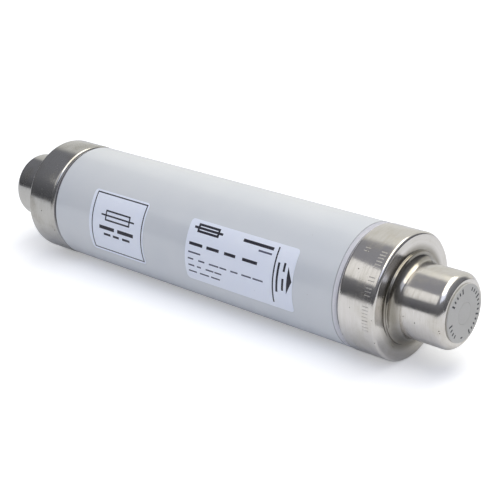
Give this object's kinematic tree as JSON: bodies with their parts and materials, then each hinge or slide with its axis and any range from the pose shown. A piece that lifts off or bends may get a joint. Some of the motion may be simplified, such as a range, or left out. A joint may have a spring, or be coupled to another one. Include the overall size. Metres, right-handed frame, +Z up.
{
  "type": "medium voltage fuse",
  "caption": "Medium voltage fuse link: porcelain barrel, plated end caps with round contacts, wound silver strips in sand and a spring striker in the end contact.",
  "frame": {"origin": "the middle of the fuse, on its axis", "axes": "+X along the axis towards the striker end; +Z up; the labels face -Y"},
  "size_m": [0.361, 0.0768, 0.0768],
  "materials": {
    "porcelain": "gloss",
    "plated_cap": "polished",
    "plated_sheet": "satin",
    "gasket": "matte",
    "terminal_copper": "satin",
    "steatite": "matte",
    "tin": "satin",
    "quartz_sand": "matte",
    "wire_steel": "satin",
    "striker_brass": "satin",
    "spring_steel": "satin",
    "pin_steel": "satin",
    "marking_disc": "matte",
    "label_film": "satin",
    "silver": "satin"
  },
  "bodies": {
    "fuse_link": {"barrel": "porcelain", "striker_end_cap": "plated_cap", "plain_end_cap": "plated_cap", "end_disc": "marking_disc", "rating_label": "label_film", "range_label": "label_film", "striker_inner_cap": "plated_sheet", "plain_inner_cap": "plated_sheet", "striker_end_gasket": "gasket", "plain_end_gasket": "gasket", "filling_plug": "gasket", "striker_terminal": "terminal_copper", "plain_terminal": "terminal_copper", "star_core": "steatite", "tin_spots": "tin", "quartz_filler": "quartz_sand", "trip_wire": "wire_steel", "wire_anchor": "striker_brass", "striker_housing": "striker_brass", "striker_base": "striker_brass", "striker_spring": "spring_steel", "fuse_element_1": "silver", "fuse_element_2": "silver", "fuse_element_3": "silver"},
    "striker": {"striker_pin": "pin_steel", "disc_patch": "marking_disc"}
  },
  "joints": [
    {"name": "striker_slide", "type": "slide", "parent": "fuse_link", "child": "striker", "axis": [1, 0, 0], "range_m": [0, 0.028], "deforming": ["striker_spring"]}
  ]
}
